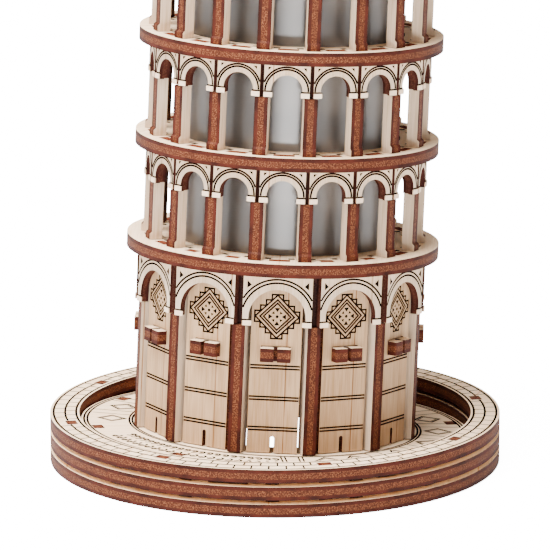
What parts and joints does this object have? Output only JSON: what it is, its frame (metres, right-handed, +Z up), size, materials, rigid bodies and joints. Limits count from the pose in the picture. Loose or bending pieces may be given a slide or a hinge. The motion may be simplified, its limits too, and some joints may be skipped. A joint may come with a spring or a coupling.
{
  "type": "miniature landmark model",
  "caption": "Leaning round arcaded tower lamp of laser-cut board on a low round base, with a frosted light tube inside.",
  "frame": {"origin": "centre of the underside of the round base", "axes": "+Z up, -Y through the middle of a ground-storey bay; the tower leans towards +X and +Y"},
  "size_m": [0.135, 0.135, 0.2885],
  "materials": {
    "rim_board": "bare veneer with engraved brick courses and burnt edges",
    "spacer_card": "burnt thin card",
    "burnt_board": "laser-burnt board edge",
    "floor_board": "bare veneer with engraved paving",
    "wall_board": "bare veneer with engraved ornament",
    "cornice_board": "bare veneer with burnt edges",
    "arcade_board": "bare veneer with engraved arches",
    "frosted_film": "frosted translucent film"
  },
  "bodies": {
    "root": {"belfry_arcade": "arcade_board", "belfry_roof": "cornice_board", "core_post_1": "burnt_board", "core_post_2": "burnt_board", "core_post_3": "burnt_board", "cornice_ring_1": "cornice_board", "cornice_ring_2": "cornice_board", "cornice_ring_3": "cornice_board", "cornice_ring_4": "cornice_board", "cornice_ring_5": "cornice_board", "cornice_ring_6": "cornice_board", "cornice_ring_7": "cornice_board", "diffuser_tube": "frosted_film", "gallery_arcade_1": "arcade_board", "gallery_arcade_2": "arcade_board", "gallery_arcade_3": "arcade_board", "gallery_arcade_4": "arcade_board", "gallery_arcade_5": "arcade_board", "gallery_arcade_6": "arcade_board", "leaning_floor": "floor_board", "rib_01": "burnt_board", "rib_02": "burnt_board", "rib_03": "burnt_board", "rib_04": "burnt_board", "rib_05": "burnt_board", "rib_06": "burnt_board", "rib_07": "burnt_board", "rib_08": "burnt_board", "rim_ring_bottom": "rim_board", "rim_ring_middle": "rim_board", "rim_ring_top": "rim_board", "snap_disc": "burnt_board", "spacer_ring_lower": "spacer_card", "spacer_ring_upper": "spacer_card", "wall_bay_01": "wall_board", "wall_bay_02": "wall_board", "wall_bay_03": "wall_board", "wall_bay_04": "wall_board", "wall_bay_05": "wall_board", "wall_bay_06": "wall_board", "wall_bay_07": "wall_board", "wall_bay_08": "wall_board", "wall_bay_09": "wall_board", "wall_bay_10": "wall_board", "wall_bay_11": "wall_board", "wall_bay_12": "wall_board", "wall_fin_01": "burnt_board", "wall_fin_02": "burnt_board", "wall_fin_03": "burnt_board", "wall_fin_04": "burnt_board", "wall_fin_05": "burnt_board", "wall_fin_06": "burnt_board", "wall_fin_07": "burnt_board", "wall_fin_08": "burnt_board", "wall_fin_09": "burnt_board", "wall_fin_10": "burnt_board", "wall_fin_11": "burnt_board", "wall_fin_12": "burnt_board"}
  },
  "joints": []
}
